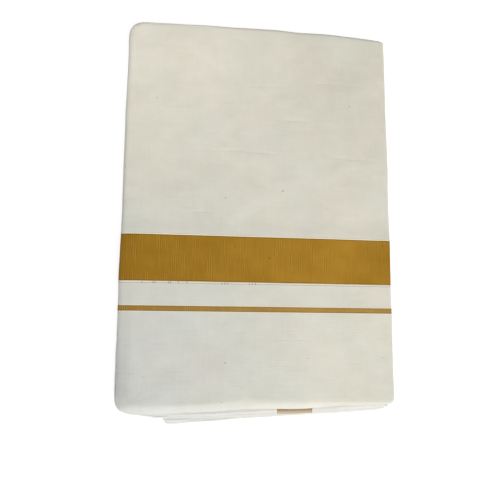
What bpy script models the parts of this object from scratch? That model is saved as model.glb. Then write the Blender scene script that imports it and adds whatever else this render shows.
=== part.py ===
"""A white cotton dhoti with a gold zari border, folded flat into a rectangular pack.

The pack lies on its underside. X runs across it, Y from its near fold to its far fold, +Z up.
One outer layer wraps it like a book cover: top sheet, rounded left fold, flat underside. Along
its open sides each sheet rolls under into a soft fold. The border is woven into that layer: a wide
band of zari and a thin stripe, each with the length of cloth between them as its own solid.
Two more folds stand out under the near roll, and all other layers share one solid whose open
sides show them as rounded folds.
"""

import math
from typing import NamedTuple

import bmesh
import bpy
import numpy as np

# Driving dimensions, in metres
PACK_WIDTH = 0.319
PACK_LENGTH = 0.4495  # near fold line to the far fold
PACK_HEIGHT = 0.020
CROWN = 0.0008  # how much the middle of the top stands above its edges
WALL = 0.0011
SEAM = 0.0003  # gap between neighbouring solids
ZARI_BAND = (0.1346, 0.1876)  # distances of its two edges from the near fold line
ZARI_STRIPE = (0.1008, 0.1068)
SELVEDGE_BORDER = (0.0226, 0.0636)  # across the pack, on the second fold

EDGE_HEIGHT = PACK_HEIGHT - CROWN
INSIDE = WALL + SEAM


class Roll(NamedTuple):
    """How one side of the outer layer is rolled, over the top sheet and over the underside."""

    reach: float  # how far the top sheet's roll stands out from where it starts
    height: float
    base_reach: float
    base_height: float


class Corner(NamedTuple):
    size: float  # from the corner's centre to where the roll starts
    squareness: float  # 2 is a round corner, and higher is nearer to a square one


ROLLS = {
    "left": Roll(reach=0.0080, height=0.0080, base_reach=0.0080, base_height=0.0042),
    "right": Roll(reach=0.0030, height=0.0050, base_reach=0.0022, base_height=0.0042),
    "near": Roll(reach=0.0080, height=0.0080, base_reach=0.0022, base_height=0.0042),
    "far": Roll(reach=0.0050, height=0.0066, base_reach=0.0022, base_height=0.0042),
}
CORNERS = {
    ("left", "near"): Corner(size=0.020, squareness=5.0),
    ("left", "far"): Corner(size=0.020, squareness=3.2),
    ("right", "near"): Corner(size=0.008, squareness=4.0),
    ("right", "far"): Corner(size=0.008, squareness=6.0),
}
ROLL_TURN = 150  # degrees that an open side's roll turns before its edge is tucked under
LEFT_FULLNESS = 0.85  # 1 is an ellipse, and lower is a boxier left fold

# x, and how far the near roll stands out there
NEAR_ROLL = (
    (-0.1590, 0.0045),
    (-0.1480, 0.0090),
    (-0.1390, 0.0120),
    (-0.1200, 0.0138),
    (-0.1060, 0.0118),
    (-0.0900, 0.0103),
    (-0.0600, 0.0098),
    (0.0000, 0.0075),
    (0.0600, 0.0070),
    (0.1020, 0.0048),
    (0.1595, 0.0030),
)
# x, and how far the far fold falls short of its furthest point there
FAR_SHORTFALL = (
    (-0.1590, 0.0030),
    (-0.1200, 0.0020),
    (-0.0700, 0.0007),
    (0.0000, 0.0000),
    (0.0800, 0.0000),
    (0.1177, 0.0012),
    (0.1595, 0.0032),
)
FAR_BEND = 0.060  # length of cloth over which that shortfall fades in

# x, and the y of each lower fold's edge there
SECOND_FOLD_EDGE = (
    (-0.1530, -0.0065),
    (-0.1484, -0.0086),
    (-0.1310, -0.0136),
    (-0.1160, -0.0165),
    (-0.0590, -0.0166),
    (0.0000, -0.0152),
    (0.0636, -0.0130),
    (0.1400, -0.0098),
    (0.1500, -0.0080),
)
THIRD_FOLD_EDGE = (
    (-0.1058, -0.0184),
    (-0.1020, -0.0232),
    (-0.0910, -0.0236),
    (-0.0200, -0.0189),
    (0.0640, -0.0151),
    (0.1400, -0.0117),
    (0.1480, -0.0100),
    (0.1530, -0.0060),
)
FOLD_HEIGHT = 0.0034
FOLD_REACH = 0.0026
FOLD_ROOT = 0.0120  # how far inside the near fold line the lower folds are tucked
FOLD_STATIONS = 22
SECOND_FOLD_BASE = 0.0080
THIRD_FOLD_BASE = SECOND_FOLD_BASE - SEAM - FOLD_HEIGHT

# The hidden layers' rounded folds along each open side
LAYER_FOLDS = 4
LAYER_REACH = {"right": 0.0034, "far": 0.0052, "near": 0.0}
LAYER_ROOT = 0.0012  # how far inside the roll's start the folds meet
LAYER_WAVE = 0.0007
LAYER_WAVE_LENGTH = 0.110
LAYER_RECESS = FOLD_ROOT + 0.006  # the near side of all but the top ones, behind the lower folds
CORNER_EASE = 0.004  # how far they draw in where the left fold gives way to an open side

IVORY = (0.80, 0.78, 0.69)
GOLD = (0.46, 0.29, 0.06)


def make_material(name, colour, roughness, metallic):
    material = bpy.data.materials.new(name)
    material.use_nodes = True
    shader = material.node_tree.nodes["Principled BSDF"]
    shader.inputs["Base Color"].default_value = (*colour, 1.0)
    shader.inputs["Roughness"].default_value = roughness
    shader.inputs["Metallic"].default_value = metallic
    return material


def lookup(table, x):
    """The second column at x, with straight lines between a table's rows."""
    return float(np.interp(x, [row[0] for row in table], [row[1] for row in table]))


def smooth_step(t):
    t = min(max(t, 0.0), 1.0)
    return t * t * (3 - 2 * t)


def mix(first, second, weight):
    return first + (second - first) * weight


# The outer layer's flat part: columns and rows of its grid, and where they lie

LEFT_START = -PACK_WIDTH / 2 + ROLLS["left"].reach
RIGHT_START = PACK_WIDTH / 2 - ROLLS["right"].reach
FAR_START = PACK_LENGTH - ROLLS["far"].reach


def grid_lines(low, high, low_corner, high_corner, middle_steps):
    """Grid lines from low to high, closer together within the corners at each end."""
    start = low + low_corner * np.array([0, 1 / 3, 2 / 3])
    middle = np.linspace(low + low_corner, high - high_corner, middle_steps + 1)
    end = high - high_corner * np.array([2 / 3, 1 / 3, 0])
    return np.concatenate([start, middle, end])


COLUMNS = grid_lines(LEFT_START, RIGHT_START, 0.020, 0.008, 8)
ROWS = grid_lines(0.0, FAR_START, 0.020, 0.020, 12)


class Place(NamedTuple):
    """Where a point of the flat part lies: its base, the way out from there, and how far."""

    base_x: float
    base_y: float
    out_x: float
    out_y: float
    distance: float
    side_x: str
    side_y: str
    weight_x: float  # 1 on the left or right side, 0 on the near or far side

    def moved_out(self, extra):
        """The plan position, moved out by extra, with the far fold's shortfall applied."""
        x = self.base_x + self.out_x * (self.distance + extra)
        y = self.base_y + self.out_y * (self.distance + extra)
        fade = smooth_step((y - (PACK_LENGTH - FAR_BEND)) / FAR_BEND)
        return x, y - fade * lookup(FAR_SHORTFALL, x)

    def roll(self):
        """The roll here, blended round the corners."""
        across = ROLLS[self.side_x]
        along = ROLLS[self.side_y]
        if self.side_y == "near":
            along = along._replace(reach=lookup(NEAR_ROLL, self.moved_out(0.0)[0]))
        return Roll(*(mix(b, a, self.weight_x) for a, b in zip(across, along)))

    def closed(self):
        """1 where the left fold is whole, 0 where top and underside part."""
        return smooth_step(1.6 * self.weight_x - 0.6) if self.side_x == "left" else 0.0


def place(a, b, near_start=0.0):
    """A grid point's place. Squares of grid lines in a corner become arcs round its centre."""
    b = mix(near_start, FAR_START, b / FAR_START)
    side_x = "left" if a < 0 else "right"
    side_y = "near" if b < FAR_START / 2 else "far"
    corner = CORNERS[side_x, side_y]
    base_x = max(a, LEFT_START + corner.size) if side_x == "left" else min(a, RIGHT_START - corner.size)
    base_y = max(b, near_start + corner.size) if side_y == "near" else min(b, FAR_START - corner.size)
    s, t = abs(a - base_x), abs(b - base_y)
    distance = max(s, t)
    angle = 0.0
    if distance > 0:
        angle = math.pi / 4 * t / s if s >= t else math.pi / 2 - math.pi / 4 * s / t
    n = corner.squareness
    cos, sin = math.cos(angle), math.sin(angle)
    stretch = (abs(cos) ** n + abs(sin) ** n) ** (-1 / n)
    out_x = stretch * cos * (-1 if side_x == "left" else 1)
    out_y = stretch * sin * (-1 if side_y == "near" else 1)
    return Place(base_x, base_y, out_x, out_y, distance, side_x, side_y, cos * cos)


def crown(a, b):
    """Height of the top above its edges."""
    across = 1 - (2 * (a - LEFT_START) / (RIGHT_START - LEFT_START) - 1) ** 4
    along = 1 - (2 * b / FAR_START - 1) ** 6
    return CROWN * max(across, 0.0) * max(along, 0.0)


def border_walk():
    """The grid's border points, as (column, row), once round from the near left corner."""
    last_column, last_row = len(COLUMNS) - 1, len(ROWS) - 1
    near = [(i, 0) for i in range(last_column)]
    right = [(last_column, j) for j in range(last_row)]
    far = [(i, last_row) for i in range(last_column, 0, -1)]
    left = [(0, j) for j in range(last_row, 0, -1)]
    return near + right + far + left


def fill_grid(mesh, vertices, upward):
    """Quads between a dictionary's grid vertices, facing up or down."""
    for i in range(len(COLUMNS) - 1):
        for j in range(len(ROWS) - 1):
            quad = [vertices[i, j], vertices[i + 1, j], vertices[i + 1, j + 1], vertices[i, j + 1]]
            mesh.faces.new(quad if upward else quad[::-1])


def join_levels(mesh, levels, keep):
    """Quads between closed loops of vertices, facing out, wherever keep(level, index) is true."""
    for k, (upper, lower) in enumerate(zip(levels, levels[1:])):
        for m in range(len(upper)):
            after = (m + 1) % len(upper)
            if keep(k, m) and keep(k, after):
                mesh.faces.new([upper[after], upper[m], lower[m], lower[after]])


# The outer layer

HEM_STEPS = 5
SIDE_STEPS = 2 * HEM_STEPS + 1


def left_fold_point(turn, reach, height, base):
    """The rounded left fold: how far out and how high it is after a turn in radians."""
    out = reach * math.sin(turn) ** LEFT_FULLNESS if 0 < turn < math.pi else 0.0
    rise = math.copysign(abs(math.cos(turn)) ** LEFT_FULLNESS, math.cos(turn))
    return out, base + height / 2 * (1 + rise)


def outer_side_point(where, step):
    """A point on the outer layer's side, from the top's edge at step 0 to the underside's."""
    roll = where.roll()
    if step <= HEM_STEPS:
        turn = math.radians(ROLL_TURN * step / HEM_STEPS)
        out = roll.reach * math.sin(turn)
        height = EDGE_HEIGHT - roll.height / 2 * (1 - math.cos(turn))
    else:
        turn = math.radians(ROLL_TURN * (SIDE_STEPS - step) / HEM_STEPS)
        out = roll.base_reach * math.sin(turn)
        height = roll.base_height / 2 * (1 - math.cos(turn))
    left_turn = math.pi * step / SIDE_STEPS
    left_out, left_height = left_fold_point(left_turn, ROLLS["left"].reach, EDGE_HEIGHT, 0.0)
    closed = where.closed()
    x, y = where.moved_out(mix(out, left_out, closed))
    return x, y, mix(height, left_height, closed)


def outer_layer():
    """The whole outer layer as an open surface facing out."""
    mesh = bmesh.new()
    top, base = {}, {}
    for i, a in enumerate(COLUMNS):
        for j, b in enumerate(ROWS):
            x, y = place(a, b).moved_out(0.0)
            top[i, j] = mesh.verts.new((x, y, EDGE_HEIGHT + crown(a, b)))
            base[i, j] = mesh.verts.new((x, y, 0.0))
    fill_grid(mesh, top, upward=True)
    fill_grid(mesh, base, upward=False)
    walk = border_walk()
    places = [place(COLUMNS[i], ROWS[j]) for i, j in walk]
    levels = [[top[spot] for spot in walk]]
    for step in range(1, SIDE_STEPS):
        levels.append([mesh.verts.new(outer_side_point(where, step)) for where in places])
    levels.append([base[spot] for spot in walk])
    join_levels(mesh, levels, lambda k, m: k != HEM_STEPS or places[m].closed() > 0.9)
    return mesh


def cut_between(mesh, axis, low, high):
    """The part of a surface between two planes across an axis."""
    normal = [1.0 if i == axis else 0.0 for i in range(3)]
    for limit, keep_above in ((low, True), (high, False)):
        if limit is None:
            continue
        bmesh.ops.bisect_plane(
            mesh,
            geom=mesh.verts[:] + mesh.edges[:] + mesh.faces[:],
            dist=1e-7,
            plane_co=[limit * n for n in normal],
            plane_no=normal,
            clear_inner=keep_above,
            clear_outer=not keep_above,
        )


def add_object(name, mesh, material):
    data = bpy.data.meshes.new(name)
    mesh.to_mesh(data)
    mesh.free()
    data.materials.append(material)
    data.shade_smooth()
    obj = bpy.data.objects.new(name, data)
    bpy.context.scene.collection.objects.link(obj)
    return obj


def add_cloth(name, mesh, material):
    """A surface facing out, given the cloth's thickness on its inner side."""
    obj = add_object(name, mesh, material)
    solidify = obj.modifiers.new("cloth thickness", "SOLIDIFY")
    solidify.thickness = WALL
    solidify.offset = -1
    solidify.use_quality_normals = True
    return obj


def add_outer_stretches(cotton, zari):
    """The outer layer, one solid for each stretch of weave from the near fold to the far one."""
    half = SEAM / 2
    stripe_low, stripe_high = ZARI_STRIPE
    band_low, band_high = ZARI_BAND
    stretches = (
        ("near_field", None, stripe_low, cotton),
        ("zari_stripe", stripe_low, stripe_high, zari),
        ("middle_field", stripe_high, band_low, cotton),
        ("zari_band", band_low, band_high, zari),
        ("far_field", band_high, None, cotton),
    )
    for name, low, high, material in stretches:
        mesh = outer_layer()
        low = None if low is None else low + half
        high = None if high is None else high - half
        cut_between(mesh, 1, low, high)
        add_cloth(name, mesh, material)


# The two lower folds along the near side


def fold_section(edge, base):
    """A folded edge's outline as (y, z), from its tucked top round to its tucked underside."""
    top = base + FOLD_HEIGHT
    nose = edge + FOLD_REACH
    turns = [math.radians(degrees) for degrees in (0, 36, 72, 108, 144, 180)]
    round_edge = [
        (nose - FOLD_REACH * math.sin(turn), base + FOLD_HEIGHT / 2 * (1 + math.cos(turn)))
        for turn in turns
    ]
    return [(FOLD_ROOT, top), *round_edge, (FOLD_ROOT, base)]


def lower_fold(edge_table, base):
    """A folded edge of cloth along X, open at its two ends and at its root, facing out."""
    mesh = bmesh.new()
    table_x = [row[0] for row in edge_table]
    even_x = np.linspace(table_x[0], table_x[-1], FOLD_STATIONS)
    clear = [x for x in even_x if min(abs(x - near) for near in table_x) > 0.004]
    rings = [
        [mesh.verts.new((x, y, z)) for y, z in fold_section(lookup(edge_table, x), base)]
        for x in sorted(table_x + clear)
    ]
    for ring, following in zip(rings, rings[1:]):
        for k in range(len(ring) - 1):
            mesh.faces.new([ring[k], ring[k + 1], following[k + 1], following[k]])
    return mesh


def add_second_fold(cotton, zari):
    """The second fold in three stretches: the selvedge border crosses its edge in zari."""
    half = SEAM / 2
    low, high = SELVEDGE_BORDER
    stretches = (
        ("second_fold_left", None, low - half, cotton),
        ("second_fold_zari", low + half, high - half, zari),
        ("second_fold_right", high + half, None, cotton),
    )
    for name, start, end, material in stretches:
        mesh = lower_fold(SECOND_FOLD_EDGE, SECOND_FOLD_BASE)
        cut_between(mesh, 0, start, end)
        add_cloth(name, mesh, material)


def add_third_fold(cotton):
    add_cloth("third_fold", lower_fold(THIRD_FOLD_EDGE, THIRD_FOLD_BASE), cotton)


# The hidden layers

NOSE_TURNS = (45, 90, 135, 180)
LAYER_TURNS = (0, 45, 90, 135)
HIDDEN_LEVELS = len(NOSE_TURNS) + 1 + LAYER_FOLDS * len(LAYER_TURNS) + 2
FIRST_OPEN_LEVEL = len(NOSE_TURNS) + 1  # from here down the lower folds take the near side


def layer_reach(where, fold):
    """How far one hidden fold stands out of the open sides, a little uneven along each."""
    reach = mix(LAYER_REACH[where.side_y], LAYER_REACH.get(where.side_x, 0.0), where.weight_x)
    x, y = where.moved_out(0.0)
    wave = math.sin(2 * math.pi * (x + y) / LAYER_WAVE_LENGTH + 2.4 * fold)
    return reach + LAYER_WAVE * wave * (reach > 0)


def open_profile(where):
    """The hidden layers' open side as (out, height): a fold inside the roll, then the others."""
    roll = where.roll()
    top = EDGE_HEIGHT - INSIDE
    nose_height = roll.height - 2 * INSIDE
    nose_reach = max(roll.reach - WALL - 4 * SEAM, SEAM)
    profile = []
    for degrees in NOSE_TURNS:
        turn = math.radians(degrees)
        profile.append((nose_reach * math.sin(turn), top - nose_height / 2 * (1 - math.cos(turn))))
    tucked = (1 - math.cos(math.radians(ROLL_TURN))) / 2
    slot_top = EDGE_HEIGHT - tucked * roll.height - 2 * SEAM
    slot_base = tucked * roll.base_height + 2 * SEAM
    profile.append((-LAYER_ROOT, profile[-1][1]))
    fold_height = (slot_top - slot_base) / LAYER_FOLDS
    for fold in range(LAYER_FOLDS):
        reach = layer_reach(where, fold)
        for degrees in LAYER_TURNS:
            turn = math.radians(degrees)
            height = slot_top - fold_height * (fold + (1 - math.cos(turn)) / 2)
            profile.append((reach * math.sin(turn) - LAYER_ROOT, height))
    profile.append((-LAYER_ROOT, slot_base))
    profile.append((-LAYER_ROOT, INSIDE))
    return profile


def hidden_side(a, b):
    """The hidden layers' side at one border point, as points from the top edge down."""
    where = place(a, b)
    recessed = place(a, b, LAYER_RECESS)
    reach = ROLLS["left"].reach - WALL - 3 * SEAM
    points = []
    for level, (out, height) in enumerate(open_profile(where), start=1):
        left_turn = math.pi * level / HIDDEN_LEVELS
        left_out, left_height = left_fold_point(
            left_turn, reach, EDGE_HEIGHT - 2 * INSIDE, INSIDE
        )
        closed = where.closed()
        spot = where if level < FIRST_OPEN_LEVEL else recessed
        ease = 4 * CORNER_EASE * closed * (1 - closed)
        x, y = spot.moved_out(mix(out, left_out, closed) - ease)
        points.append((x, y, mix(height, left_height, closed)))
    return points


def add_hidden_layers(cotton):
    mesh = bmesh.new()
    top, base = {}, {}
    walk = border_walk()
    sides = {(i, j): hidden_side(COLUMNS[i], ROWS[j]) for i, j in walk}
    for i, a in enumerate(COLUMNS):
        for j, b in enumerate(ROWS):
            x, y = place(a, b).moved_out(0.0)
            top[i, j] = mesh.verts.new((x, y, EDGE_HEIGHT + crown(a, b) - INSIDE))
            if (i, j) in sides:
                base[i, j] = mesh.verts.new(sides[i, j][-1])
            else:
                x, y = place(a, b, LAYER_RECESS).moved_out(0.0)
                base[i, j] = mesh.verts.new((x, y, INSIDE))
    fill_grid(mesh, top, upward=True)
    fill_grid(mesh, base, upward=False)
    levels = [[top[spot] for spot in walk]]
    for level in range(HIDDEN_LEVELS - 1):
        levels.append([mesh.verts.new(sides[spot][level]) for spot in walk])
    levels.append([base[spot] for spot in walk])
    join_levels(mesh, levels, lambda k, m: True)
    add_object("hidden_layers", mesh, cotton)


def stand_on_origin():
    """Moves every object so that the origin is under the middle of the pack's box."""
    bpy.context.view_layer.update()
    graph = bpy.context.evaluated_depsgraph_get()
    corners = []
    for obj in bpy.context.scene.objects:
        data = obj.evaluated_get(graph).to_mesh()
        corners += [vertex.co.copy() for vertex in data.vertices]
    corners = np.array(corners)
    low, high = corners.min(axis=0), corners.max(axis=0)
    for obj in bpy.context.scene.objects:
        obj.location = (-(low[0] + high[0]) / 2, -(low[1] + high[1]) / 2, -low[2])


def main():
    for obj in list(bpy.data.objects):
        bpy.data.objects.remove(obj)
    cotton = make_material("ivory_cotton", IVORY, roughness=0.9, metallic=0.0)
    zari = make_material("gold_zari", GOLD, roughness=0.45, metallic=0.4)
    add_outer_stretches(cotton, zari)
    add_second_fold(cotton, zari)
    add_third_fold(cotton)
    add_hidden_layers(cotton)
    stand_on_origin()


main()
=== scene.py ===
"""The looks of a folded cotton dhoti with a woven gold zari border.

Each stretch of cloth that shows is a thin shell, denser than its solid and on the same form.
Distances along the pack are measured from its near fold line, as in the solids, and the whole is
set down on the frame at the end. "a" and "b" are grid lines across and along the pack.
"""

import math
from typing import NamedTuple

import bpy
import numpy as np
from mathutils import Matrix, Vector


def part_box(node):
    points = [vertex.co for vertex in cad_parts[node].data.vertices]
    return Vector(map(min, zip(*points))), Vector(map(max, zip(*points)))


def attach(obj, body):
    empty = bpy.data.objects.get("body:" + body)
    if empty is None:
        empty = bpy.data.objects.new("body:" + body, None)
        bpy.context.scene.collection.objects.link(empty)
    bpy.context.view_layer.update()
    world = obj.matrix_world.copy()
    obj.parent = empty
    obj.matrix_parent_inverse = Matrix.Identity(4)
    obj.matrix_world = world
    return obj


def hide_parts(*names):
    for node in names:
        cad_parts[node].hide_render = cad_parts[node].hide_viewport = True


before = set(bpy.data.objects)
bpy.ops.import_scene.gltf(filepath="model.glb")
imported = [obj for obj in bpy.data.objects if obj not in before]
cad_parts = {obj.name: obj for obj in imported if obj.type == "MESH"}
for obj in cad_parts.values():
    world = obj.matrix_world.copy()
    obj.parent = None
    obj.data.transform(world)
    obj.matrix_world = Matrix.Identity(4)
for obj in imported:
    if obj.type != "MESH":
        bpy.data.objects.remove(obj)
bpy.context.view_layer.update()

MM = 0.001


def in_metres(*rows):
    """A table that is written in millimetres."""
    return np.array(rows) * MM


# Sizes of the pack, as its solids have them
SEAM = 0.3 * MM
ZARI_BAND = (0.1346, 0.1876)  # distances of its two edges from the near fold line
ZARI_STRIPE = (0.1008, 0.1068)
SELVEDGE_BORDER = (0.0226, 0.0636)  # across the pack, on the second fold
BAND_LOW, BAND_HIGH = (np.array(corner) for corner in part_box("zari_band"))
FOLD_LINE = BAND_LOW[1] - SEAM / 2 - ZARI_BAND[0]  # y of the near fold line in the frame
PACK_WIDTH = 0.319
PACK_LENGTH = 0.4495
CROWN = 0.8 * MM
EDGE_HEIGHT = BAND_HIGH[2] - CROWN
CLOTH = 0.55 * MM  # thickness of one layer

GRID_STEP = 2.4 * MM
FINE_STEP = 0.3 * MM  # rows on the cords beside the border
FOLD_STEP = 1.6 * MM  # columns of the lower folds
HIDDEN_STEP = 3.2 * MM
CORD_WIDTH = 1.7 * MM
CORD_HEIGHT = 0.35 * MM
STRIPE_CORD_WIDTH = 0.9 * MM
STRIPE_CORD_HEIGHT = 0.12 * MM


class Roll(NamedTuple):
    """How one side of the outer layer is rolled, over the top sheet and over the underside."""

    reach: float
    height: float
    base_reach: float
    base_height: float


ROLLS = {
    "left": Roll(8 * MM, 8 * MM, 8 * MM, 4.2 * MM),
    "right": Roll(3 * MM, 5 * MM, 2.2 * MM, 4.2 * MM),
    "near": Roll(8 * MM, 8 * MM, 2.2 * MM, 4.2 * MM),
    "far": Roll(5 * MM, 6.6 * MM, 2.2 * MM, 4.2 * MM),
}
# Corner sizes, and how square the near and the far one are: 2 is round, and higher is squarer
LEFT_CORNER, RIGHT_CORNER = 0.02, 0.008
LEFT_SQUARENESS, RIGHT_SQUARENESS = (5.0, 3.2), (4.0, 6.0)
ROLL_TURN = 150  # degrees
LEFT_FULLNESS = 0.55  # 1 is an ellipse, and lower is fuller
# These tables are in mm. x, and how far the near roll stands out there
NEAR_ROLL = in_metres(
    (-159, 4.5), (-148, 9), (-139, 12), (-120, 13.8), (-106, 11.8), (-90, 10.3), (-60, 9.8),
    (0, 7.5), (60, 7), (102, 4.8), (159.5, 3),
)
# x, and how far the far fold falls short of its furthest point there
FAR_SHORTFALL = in_metres(
    (-159, 3), (-120, 2), (-70, 0.7), (0, 0), (80, 0), (117.7, 1.2), (159.5, 3.2),
)
FAR_BEND = 0.06
# x, and the y of each lower fold's edge there
SECOND_FOLD_EDGE = in_metres(
    (-153, -6.5), (-148.4, -8.6), (-131, -13.6), (-116, -16.5), (-59, -16.6), (0, -15.2),
    (63.6, -13), (140, -9.8), (150, -8),
)
THIRD_FOLD_EDGE = in_metres(
    (-105.8, -18.4), (-102, -23.2), (-91, -23.6), (-20, -18.9), (64, -15.1), (140, -11.7),
    (148, -10), (153, -6),
)
FOLD_HEIGHT = 3.4 * MM
FOLD_REACH = 2.6 * MM
FOLD_ROOT = 12 * MM
# How a lower fold's top is pressed down by what covers it, then swells and sinks to its edge
FOLD_PRESS = in_metres(  # x, and how deeply there
    (-160, 1.3), (-55, 1.25), (-25, 0.8), (20, 0.6), (45, 0.8), (75, 0.5), (95, 0.25), (160, 0.25),
)
FOLD_PRESS_WIDTH = 1.6 * MM
FOLD_PRESS_REACH = 2 * MM
FOLD_SWELL = 0.9 * MM
FOLD_SAG = 2.6 * MM
SECOND_FOLD_BASE = 8 * MM
THIRD_FOLD_BASE = SECOND_FOLD_BASE - SEAM - FOLD_HEIGHT

# The hidden layers' open sides
THIN_FOLDS = 11
POINTS_PER_FOLD = 6
LAYER_REACH = {"right": 2.6 * MM, "far": 4.2 * MM, "near": 0.0}
LAYER_UNEVEN = 0.9 * MM
LAYER_WAVE = 0.5 * MM
LAYER_ROOT = 1.6 * MM
# x, and how far the hidden layers lie behind the near fold line there: those as high as the
# second fold, and those lower down
HIGH_RECESS = in_metres(
    (-159.5, 2), (-156, 2), (-148, 18), (148, 18), (156, 6),
)
LOW_RECESS = in_metres(
    (-159.5, 1.5), (-110, 1.5), (-106, 18), (150, 18), (156, 6),
)

# Soft creases in the outer layer: middle x and y and length in m, depth in mm, turn in degrees
CREASES = (
    (-0.022, 0.29, 0.15, 0.15, -0.8), (0.115, 0.2865, 0.08, 0.17, -2.4),
    (0.042, 0.332, 0.06, 0.12, -1.2), (0.098, 0.381, 0.07, 0.12, -1.2),
    (0.01, 0.3735, 0.07, 0.09, 4), (-0.1, 0.342, 0.05, 0.08, 0), (-0.06, 0.215, 0.06, 0.07, 2),
    (0.03, 0.07, 0.08, 0.07, -2), (-0.08, 0.322, 0.13, 0.07, 90), (0.045, 0.395, 0.06, 0.07, 88),
    (-0.141, 0.006, 0.034, 0.26, 38), (-0.124, 0.01, 0.03, 0.18, 24),
    (-0.09, 0.004, 0.026, 0.16, 80), (-0.01, 0.003, 0.022, 0.14, 96),
    (0.092, 0.002, 0.024, 0.16, 84), (0.146, 0.01, 0.026, 0.22, 140),
    (-0.148, 0.432, 0.034, 0.35, 135), (-0.06, 0.446, 0.024, 0.16, 88),
    (0.03, 0.447, 0.026, 0.14, 94), (0.146, 0.436, 0.028, 0.22, 48), (-0.156, 0.35, 0.026, 0.2, 8),
    (-0.156, 0.236, 0.022, 0.16, -5), (-0.156, 0.07, 0.026, 0.22, 4),
    (0.156, 0.33, 0.024, 0.14, -6), (0.156, 0.06, 0.024, 0.14, 5),
)
CREASE_WIDTH = 2.6 * MM
PRESSED_FOLD = 4 * MM  # thickness of each fold that shows through the left side
PRESSED_CREASES = 8  # the first of these, which are pressed sharply enough to show a line
# Soft hollows in the top sheet: x, y and radius in m, and depth in mm, less than 0 for a swell
HOLLOWS = (
    (0.07, 0.385, 0.05, 0.45), (-0.06, 0.008, 0.022, 0.6), (-0.13, 0.014, 0.024, 0.55),
    (-0.115, 0.255, 0.045, 0.3), (0.105, 0.05, 0.04, -0.35), (-0.02, 0.35, 0.06, -0.35),
    (0.06, 0.065, 0.035, -0.25),
)

# Distance in from where a side's roll starts, and how far the top sheet has dropped there
NEAR_SHOULDER = in_metres(
    (-10, 2.75), (-8, 2.45), (-6, 1.95), (-4, 1.3), (-2, 0.6), (-0.5, 0.15), (1, 0),
)
# x, and how far in from its roll's start the near shoulder bends there
NEAR_BEND = in_metres(
    (-159, -1.8), (-130, -3.4), (-85, -2.6), (-50, -0.2), (-16, 3.6), (20, 1.5), (159.5, 0),
)
FAR_SHOULDER = in_metres((-3, 0.34), (0, 0.24), (3, 0.08), (7, 0))
LEFT_SHOULDER = in_metres(
    (-8, 2.75), (-4, 2.25), (0, 1.4), (4, 0.66), (7, 0.24), (10, 0.05), (13, 0),
)
# y, and the share of the left shoulder's drop there
LEFT_SHOULDER_SHARE = (
    (0, 1.6), (0.03, 1.5), (0.06, 1.27), (0.12, 1.02), (0.22, 0.54), (0.44, 0.12),
)
MOST_DROP = 3.7 * MM
SHOULDER_BASE = 11.9 * MM  # the height below which nothing has dropped

RENDER_SIDE = 480
FOCAL_PIXELS = 550
SENSOR = 36.0
CAMERA_PLACE = Vector((-0.1052, 0.0901, 0.646))  # y from the near fold line
CAMERA_TARGET = Vector((-0.0204, 0.1865, 0.0))
CAMERA_ROLL = 42.44
KEY_FROM = (0.46, -0.68, 0.64)
KEY_STRENGTH = 3.15
LEFT_FILL_FROM = (-1.3, 0.1, 0.3)
BACK_FILL_FROM = (-0.3, 1.6, 0.8)
FILL_WATTS = 3.0
WORLD_STRENGTH = 0.35
FLOOR_SHADE = 0.25
FLOOR_GLOW = 0.86


# ---- Numbers


def lookup(table, x):
    rows = np.array(table)
    return np.interp(x, rows[:, 0], rows[:, 1])


def smooth_step(t):
    t = np.clip(t, 0.0, 1.0)
    return t * t * (3 - 2 * t)


def mix(first, second, weight):
    return first + (second - first) * weight


def ripples(points, wavelength, seed, stretch=(1.0, 1.0, 1.0), waves=28):
    """Smooth random relief, about -1 to 1, in waves of about one length, longer where stretched."""
    draw = np.random.default_rng(seed)
    directions = draw.normal(size=(waves, 3))
    directions /= np.linalg.norm(directions, axis=1)[:, None]
    lengths = wavelength * draw.uniform(0.7, 1.5, waves)
    vectors = 2 * math.pi * directions / lengths[:, None] / np.array(stretch)
    phases = draw.uniform(0, 2 * math.pi, waves)
    total = np.zeros(len(points))
    for vector, phase in zip(vectors, phases):
        total += np.cos(points @ vector + phase)
    return total / math.sqrt(waves)


def add_object(name, data):
    added = bpy.data.objects.new(name, data)
    bpy.context.scene.collection.objects.link(added)
    return added


# ---- Surfaces


class Surface(NamedTuple):
    """Points with their place in the flat cloth, and quads with the stretch each belongs to."""

    points: np.ndarray
    cloth: np.ndarray
    quads: np.ndarray
    stretches: np.ndarray

    def normals(self):
        corners = self.points[self.quads]
        face = np.cross(corners[:, 2] - corners[:, 0], corners[:, 3] - corners[:, 1])
        total = np.zeros_like(self.points)
        for k in range(4):
            np.add.at(total, self.quads[:, k], face)
        return total / np.maximum(np.linalg.norm(total, axis=1), 1e-12)[:, None]


def shell(name, surface, stretch, thickness, material):
    """One stretch of a surface as a closed sheet of that thickness, with the outer face given."""
    quads = surface.quads[surface.stretches == stretch]
    used, flat = np.unique(quads, return_inverse=True)
    quads = flat.reshape(quads.shape)
    outer = surface.points[used]
    inner = outer - surface.normals()[used] * thickness
    count = len(used)
    edges = np.concatenate([quads[:, [k, (k + 1) % 4]] for k in range(4)])
    keys = np.sort(edges, axis=1)
    _, index, times = np.unique(keys, axis=0, return_inverse=True, return_counts=True)
    rim = edges[times[index.reshape(-1)] == 1]
    rim_quads = np.stack([rim[:, 1], rim[:, 0], rim[:, 0] + count, rim[:, 1] + count], axis=1)
    faces = np.concatenate([quads, quads[:, ::-1] + count, rim_quads])
    cloth = np.concatenate([surface.cloth[used]] * 2)
    return add_mesh(name, np.concatenate([outer, inner]), faces, cloth, material)


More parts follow.
